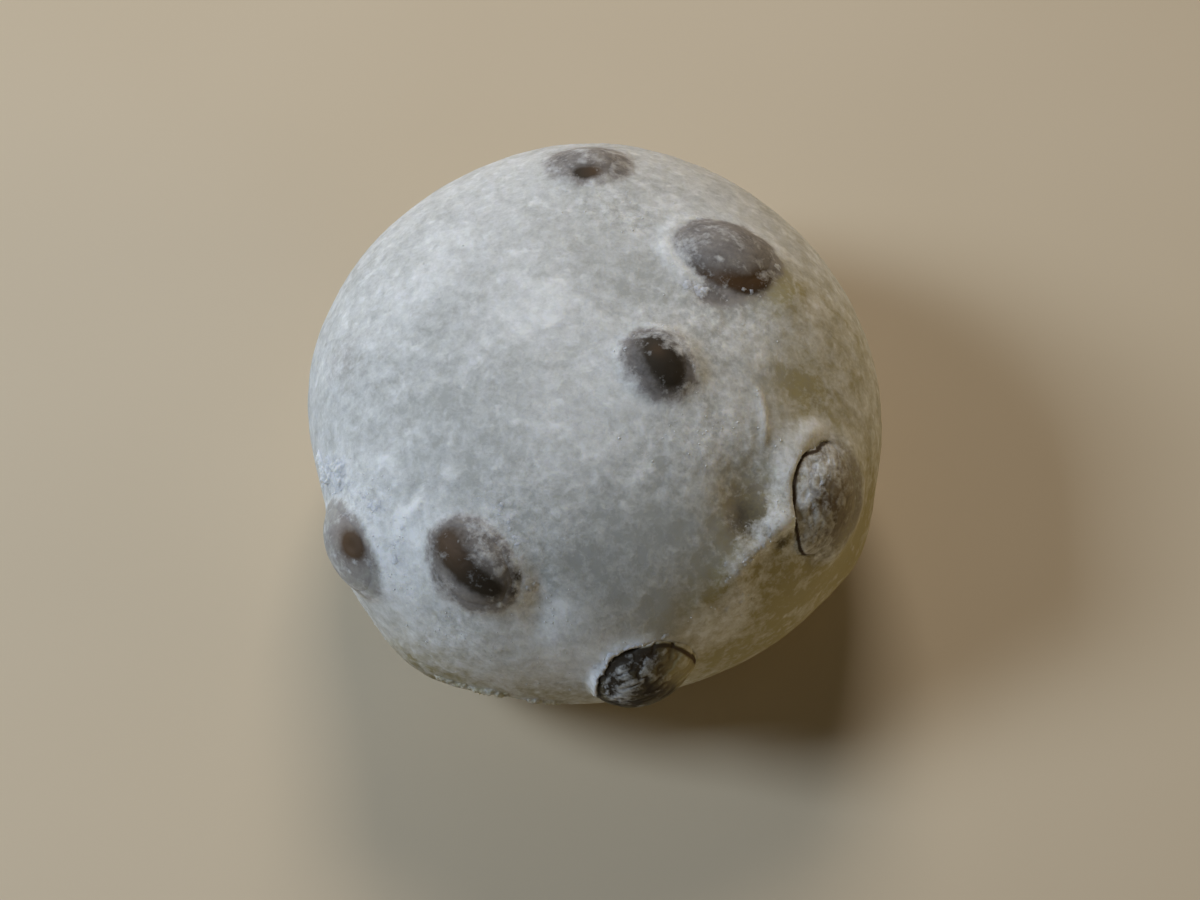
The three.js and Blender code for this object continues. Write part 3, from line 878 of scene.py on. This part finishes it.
# ---- The caked starch --------------------------------------------------------------------------
# Potato starch that took up water from the dough and caked on it, in thin crumbly islands, most of
# all where a bean lifts the skin. It drapes over the edge between the dough and a bean.
# Each row says what the crust lies on and its path: degrees around and up on the dough, or shares
# of the length and width on a bean. Then come how far it reaches from the path, how thick it is and
# the size of its pieces, all in millimetres, how much of the skin it hides, and how white it is.
CRUSTS = [
    ("dough", [(17.4, 65), (18, 63.5)], 0.9, 0.15, 1.2, 1.3, 1.1),
    ("dough", [(11.2, 62.3), (14, 62.3)], 1.1, 0.18, 1.2, 1.3, 1.1),
    ("dough", [(20, 43.5), (17, 46.5)], 0.7, 0.12, 0.9, 0.8, 0.95),
    ("dough", [(14, 66), (11, 60), (9, 54), (11, 48)], 2.0, 0.12, 0.7, 0.5, 0.95),
    ("dough", [(-163, 10), (-160, 15), (-154, 21)], 2.2, 0.4, 1.5, 1.0, 0.95),
    ("dough", [(-156, 18), (-149, 23), (-141, 26.5), (-132, 25)], 2.2, 0.12, 1.0, 0.7, 0.95),
    ("dough", [(-113, 39), (-108, 37), (-105, 31.5), (-102, 26)], 1.3, 0.15, 0.6, 0.6, 0.95),
    ("dough", [(-130, 33), (-125, 37), (-118, 39.5), (-113, 39)], 0.9, 0.12, 0.7, 0.6, 0.95),
    ("dough", [(-132, 33), (-132, 26), (-129, 19)], 0.9, 0.12, 0.8, 0.7, 0.95),
    ("dough", [(-122, 17), (-113, 18), (-107, 22)], 1.0, 0.1, 0.7, 0.5, 0.95),
    ("dough", [(-36, 60), (-33, 62)], 0.5, 0.12, 0.8, 0.8, 0.95),
    ("dough", [(-62, 74), (-40, 76), (-22, 71), (-22, 62)], 1.4, 0.1, 0.6, 0.45, 0.95),
    ("dough", [(-34.8, 33.5), (-43, 30.5), (-46.2, 28.5), (-49, 27), (-55.3, 25.3)],
     1.1, 0.1, 0.8, 0.5, 0.95),
    ("dough", [(-50, 26.8), (-53.5, 25.6), (-58, 24.5), (-61.7, 22.8)], 1.2, 0.18, 1.2, 0.8, 0.95),
    ("dough", [(-62, 25.5), (-65, 22.5)], 0.7, 0.12, 0.8, 0.8, 0.95),
    ("dough", [(-47.2, 21.2), (-46.5, 20)], 0.5, 0.12, 0.8, 1.0, 0.95),
    ("dough", [(-53, 32), (-50, 30), (-57, 28)], 1.6, 0.1, 0.6, 0.4, 0.95),
    ("dough", [(-90.6, 2.9), (-89, 10), (-85.6, 13.3), (-80.1, 14.5), (-76, 15)],
     0.7, 0.15, 0.8, 0.8, 0.95),
    ("dough", [(-118, -3.2), (-107, -3.2), (-101.3, -5.4), (-93, -8)], 0.7, 0.3, 0.9, 1.1, 0.5),
    ("dough", [(99, 56), (86, 58), (75, 59), (60, 61)], 1.4, 0.08, 0.6, 0.4, 0.95),
    ("dough", [(-66, 14), (-59, 17)], 1.2, 0.1, 0.8, 0.6, 0.95),
    ("bean_top_back", [(-0.02, 0.8)], 0.5, 0.12, 0.8, 1.1, 0.95),
    ("bean_right", [(0.7, 0.4), (0.4, 0.6), (0.0, 0.72)], 1.5, 0.12, 0.6, 0.6, 0.7),
    ("bean_right", [(-0.4, 0.6), (-0.7, 0.4)], 1.1, 0.15, 0.6, 0.6, 0.8),
    ("bean_front", [(-0.43, 0.74), (-0.5, 0.54), (-0.6, 0.27)], 0.6, 0.12, 0.5, 0.6, 0.8),
    ("bean_front_left", [(0.2, 0.8), (0.55, 0.66), (0.74, 0.35)], 0.8, 0.07, 0.5, 0.5, 0.75),
]
CRUST_CELL = 0.09  # the fine grid's spacing
CRUST_EDGE = 0.05  # how far a crust's edge runs in under what it lies on
CRUST_UNDER = 0.14  # how deep its underside lies
CRUST_BREAKS = 1.4  # how much its grain breaks it up into pieces
CRUST_CUT = 1.2  # how gently each piece rises from its border, in shares of the grain's range
CRUST_ROUGH = 0.6  # how rough its top is, as a share of its thickness


def spot_on(bean, x, y):
    """The direction from the cake's centre to a place on a bean's outer face."""
    middle, half, axes = bean_place(bean)
    return unit(middle + (half * [x, y, np.sqrt(max(1 - x * x - y * y, 0))]) @ axes - CENTRE)


def outer_reach(d):
    """How far the skin or, where one stands out of it, a bean reaches."""
    reach = dusted_reach(d)
    for bean in BEANS:
        near = beside(bean, d)
        if len(near):
            reach[near] = np.maximum(reach[near], dented_reach(d[near], bean))
    return reach


def joined_corners(kept):
    """The same cells, with those added that join two cells touching by a corner alone. It takes
    three rounds, as a cell that joins two can touch a third by its corner."""
    kept = kept.copy()
    for _ in range(3):
        one = kept[:-1, :-1] & kept[1:, 1:] & ~kept[1:, :-1] & ~kept[:-1, 1:]
        other = kept[1:, :-1] & kept[:-1, 1:] & ~kept[:-1, :-1] & ~kept[1:, 1:]
        kept[1:, :-1] |= one
        kept[:-1, :-1] |= other
    return kept


def closed_sheet(top, under, kept):
    """A closed surface over the kept cells of a grid: the top, the underside, and walls wherever
    a kept cell has no kept neighbour. top and under are grids of points."""
    rows, columns = top.shape[:2]
    number = np.arange(rows * columns).reshape(rows, columns)
    a, b, c, e = number[:-1, :-1], number[1:, :-1], number[1:, 1:], number[:-1, 1:]
    below = rows * columns
    faces = [np.stack([a, b, c, e], -1)[kept], np.stack([e, c, b, a], -1)[kept] + below]
    around = np.pad(kept, 1)
    sides = [
        (around[1:-1, :-2], a, b), (around[2:, 1:-1], b, c),
        (around[1:-1, 2:], c, e), (around[:-2, 1:-1], e, a),
    ]
    for neighbour, start, end in sides:
        edge = kept & ~neighbour
        faces.append(np.stack([end, start, start + below, end + below], -1)[edge])
    faces = np.concatenate(faces)
    used, faces = np.unique(faces, return_inverse=True)
    points = np.concatenate([top.reshape(-1, 3), under.reshape(-1, 3)])[used]
    return points, faces.reshape(-1, 4), used % below


def path_corners(on, path):
    """The directions from the cake's centre to the corners of a path on the dough or on a bean."""
    if on == "dough":
        return towards(*np.array(path, float).T)
    bean = next(bean for bean in BEANS if bean["name"] == on)
    return np.array([spot_on(bean, x, y) for x, y in path])


def starch_crust(on, path, wide, rise, flake, cover, seed):
    """One crust: a layered grain, high along the path and low away from it, lifts a fine grid out
    of the skin in islands. Also gives how strong the grain is at each point."""
    corners = path_corners(on, path)
    out = unit(corners.mean(axis=0))
    side = unit(np.cross([0, 0, 1], out))
    uphill = np.cross(out, side)
    flat = GIRTH_RADIUS * np.stack([corners @ side, corners @ uphill], 1) / (corners @ out)[:, None]
    margin = 1.5 * wide
    x, y = (
        np.arange(low - margin, high + margin, CRUST_CELL)
        for low, high in zip(flat.min(axis=0), flat.max(axis=0))
    )
    x, y = (v / GIRTH_RADIUS for v in np.meshgrid(x, y, indexing="ij"))
    d = unit(out + x[..., None] * side + y[..., None] * uphill).reshape(-1, 3)
    reach = outer_reach(d)
    points = CENTRE + d * reach[:, None]
    off = path_distance(d, corners)[0] / wide
    broken = layered_grain(points, flake, seed, 4, 0.65)
    level = cover - 0.5 - off**2 + CRUST_BREAKS * broken
    rough = 1 + CRUST_ROUGH * layered_grain(points, 0.35, seed + 5, 2, 0.8)
    lift = rise * (smooth(-0.1, CRUST_CUT, level) * rough) - CRUST_EDGE
    kept = (lift > -0.9 * CRUST_EDGE).reshape(x.shape)
    kept = kept[:-1, :-1] | kept[1:, :-1] | kept[:-1, 1:] | kept[1:, 1:]
    top = (points + d * lift[:, None]).reshape(*x.shape, 3)
    under = (points - d * CRUST_UNDER).reshape(*x.shape, 3)
    points, quads, used = closed_sheet(top, under, joined_corners(kept))
    return points, quads, d[used], level[used]


def all_crusts():
    """Every crust in one piece. Its thin edges let what it lies on show through."""
    points, quads, directions, levels, whites, count = [], [], [], [], [], 0
    for number, (*crust, white) in enumerate(CRUSTS):
        more, faces, d, level = starch_crust(*crust, 300 + 10 * number)
        points.append(more)
        quads.append(faces + count)
        directions.append(d)
        levels.append(level)
        whites.append(np.full(len(more), white))
        count += len(more)
    marks = outer_marks(np.concatenate(directions))
    thick = smooth(-0.1, 0.5, np.concatenate(levels))
    marks["starch"] += thick * np.maximum(np.concatenate(whites) - marks["starch"], 0)
    marks["crumbly"] = np.maximum(marks["crumbly"], 0.5)
    return add_surface(
        "starch_crust", np.concatenate(points), np.concatenate(quads), marks, cake_skin)


crusts = all_crusts()
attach(crusts, "root")

# ---- The loose starch --------------------------------------------------------------------------
# Dry starch in grains and small crumbs, too coarse to brush off, where the coat lies thick or is
# crumbly. Most are a tenth or two of a millimetre across.
GRAIN_COUNT = 700
GRAIN_CELLS = 2  # a grain is a cube of 2 by 2 by 2 cells, blown up
GRAIN_SIZES = (0.06, 0.2)  # the smallest and the largest, in millimetres
GRAIN_THICK = 0.6  # how thick a grain is, as a share of its size
SUNK = 0.25  # how far it sinks into what it lies on, as a share of its size
HOLLOW_COLOUR = (0.66, 0.67, 0.67, 1)  # between the specks of the powder


def surface_points(piece):
    """A piece's points in millimetres and which way they face."""
    count = len(piece.data.vertices)
    points, normals = np.empty(count * 3), np.empty(count * 3)
    piece.data.vertices.foreach_get("co", points)
    piece.data.vertices.foreach_get("normal", normals)
    return points.reshape(-1, 3) / MM, normals.reshape(-1, 3)


def starch_grains(cake):
    """Small flattened lumps, each with its own size, stretch and turn, set on points of the skin
    that are drawn with a seeded random generator."""
    draw = np.random.default_rng(7)
    points, normals = surface_points(cake)
    d = unit(points - CENTRE)
    starch, crumbly, film = marks = np.empty((3, len(d)))
    for mark, values in zip(("starch", "crumbly", "film"), marks):
        cake.data.attributes[mark].data.foreach_get("value", values)
    weight = (0.02 + crumbly) * smooth(0.4, 1.0, starch) * smooth(0.7, 0.95, film)
    for bean in BEANS:
        weight *= np.linalg.norm(points - CENTRE, axis=1) > bean_reach(d, bean)
    weight *= points[:, 2] > 1
    chosen = draw.choice(len(d), GRAIN_COUNT, p=weight / weight.sum())
    seats, outward = points[chosen], normals[chosen]
    low, high = GRAIN_SIZES
    sizes = low + (high - low) * draw.random(len(seats)) ** 3

    ball, quads = ball_grid(GRAIN_CELLS)
    lumps = ball * (1 + 0.2 * draw.uniform(-1, 1, (len(seats), len(ball), 1)))
    stretch = draw.uniform(0.9, 1.4, len(seats))
    lumps *= np.stack([stretch, 1 / stretch, 0 * stretch + GRAIN_THICK], axis=1)[:, None, :]
    side = unit(np.cross(outward, draw.normal(size=outward.shape)))
    axes = np.stack([side, np.cross(outward, side), outward], axis=1)
    lumps = np.einsum("gpi,gij->gpj", lumps * sizes[:, None, None] / 2, axes)
    lumps += (seats + outward * (sizes * (GRAIN_THICK / 2 - SUNK))[:, None])[:, None, :]
    quads = quads[None] + len(ball) * np.arange(len(seats))[:, None, None]
    return add_surface(
        "starch_grains", lumps.reshape(-1, 3), quads.reshape(-1, 4), {}, starch_powder())


def starch_powder():
    """Dry white starch, a little greyer in its hollows."""
    material, tree, shader = new_material("starch_powder")
    place = add_node(tree, "ShaderNodeTexCoord", {}, 3)
    specks = mottle(tree, place, 0.12, 3, 0.6)
    colour = mix_colour(tree, ramp(tree, specks, 0.3, 0.6), HOLLOW_COLOUR, STARCH_COLOUR)
    set_sockets(tree, shader, {
        "Base Color": colour,
        "Roughness": 0.9,
        "Subsurface Weight": 0.3,
        "Subsurface Radius": (1.0, 0.9, 0.8),
        "Subsurface Scale": 0.4 * MM,
    })
    return material


grains = starch_grains(cake)
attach(grains, "root")

# ---- The table, the light and the camera -------------------------------------------------------
# A pale table top, soft window light from the left and a warmer light from behind the cake.
TABLE_SIDE = 3000.0
TABLE_COLOUR = (0.62, 0.52, 0.38, 1)
PALER_TABLE = (0.64, 0.54, 0.4, 1)


def table_top():
    """One flat square at the height of the cake's foot."""
    side = TABLE_SIDE / 2
    corners = np.array([(-side, -side, 0), (side, -side, 0), (side, side, 0), (-side, side, 0)])
    material, tree, shader = new_material("table")
    place = add_node(tree, "ShaderNodeTexCoord", {}, 3)
    tone = mottle(tree, place, 60.0, 2, 0.5)
    colour = mix_colour(tree, ramp(tree, tone, 0.3, 0.7), TABLE_COLOUR, PALER_TABLE)
    set_sockets(tree, shader, {"Base Color": colour, "Roughness": 0.7})
    return add_surface("table", corners, np.array([[0, 1, 2, 3]]), {}, material)


table_top()

LIGHT_DISTANCE = 590.0


def soft_light(name, around, up, side, brightness, colour):
    """A square soft box that faces the cake from a direction. A white surface that faces it comes
    out at `brightness`: a lamp of P watts gives P / (pi * distance)^2 there."""
    lamp = bpy.data.lights.new(name, "AREA")
    lamp.shape = "SQUARE"
    lamp.size = side * MM
    lamp.energy = brightness * (np.pi * LIGHT_DISTANCE * MM) ** 2
    lamp.color = colour
    light = bpy.data.objects.new(name, lamp)
    away = Vector(towards(around, up))
    light.location = (Vector(CENTRE) + away * LIGHT_DISTANCE) * MM
    light.rotation_euler = (-away).to_track_quat("-Z", "Y").to_euler()
    bpy.context.scene.collection.objects.link(light)


soft_light("window", 182, 40, 190, 0.56, (0.86, 1.0, 1.15))
soft_light("ceiling", 90, 44, 220, 0.38, (1.12, 1.0, 0.86))
soft_light("table_glow", -12, 14, 260, 0.10, (1.35, 1.0, 0.42))

world = bpy.data.worlds.new("room")
world.use_nodes = True
background = world.node_tree.nodes["Background"]
set_sockets(world.node_tree, background, {"Color": (1.0, 0.95, 0.88, 1), "Strength": 0.03})
bpy.context.scene.world = world
bpy.context.scene.view_settings.view_transform = "Standard"

AIM = (0.79, 0.0, 8.94)
DISTANCE = 203.5
ELEVATION = np.radians(60)
lens = bpy.data.cameras.new("camera")
lens.lens = 60
lens.sensor_width = 36
camera = bpy.data.objects.new("camera", lens)
away = Vector((0, -np.cos(ELEVATION), np.sin(ELEVATION)))
camera.location = (Vector(AIM) + away * DISTANCE) * MM
camera.rotation_euler = (-away).to_track_quat("-Z", "Y").to_euler()
bpy.context.scene.collection.objects.link(camera)
bpy.context.scene.camera = camera
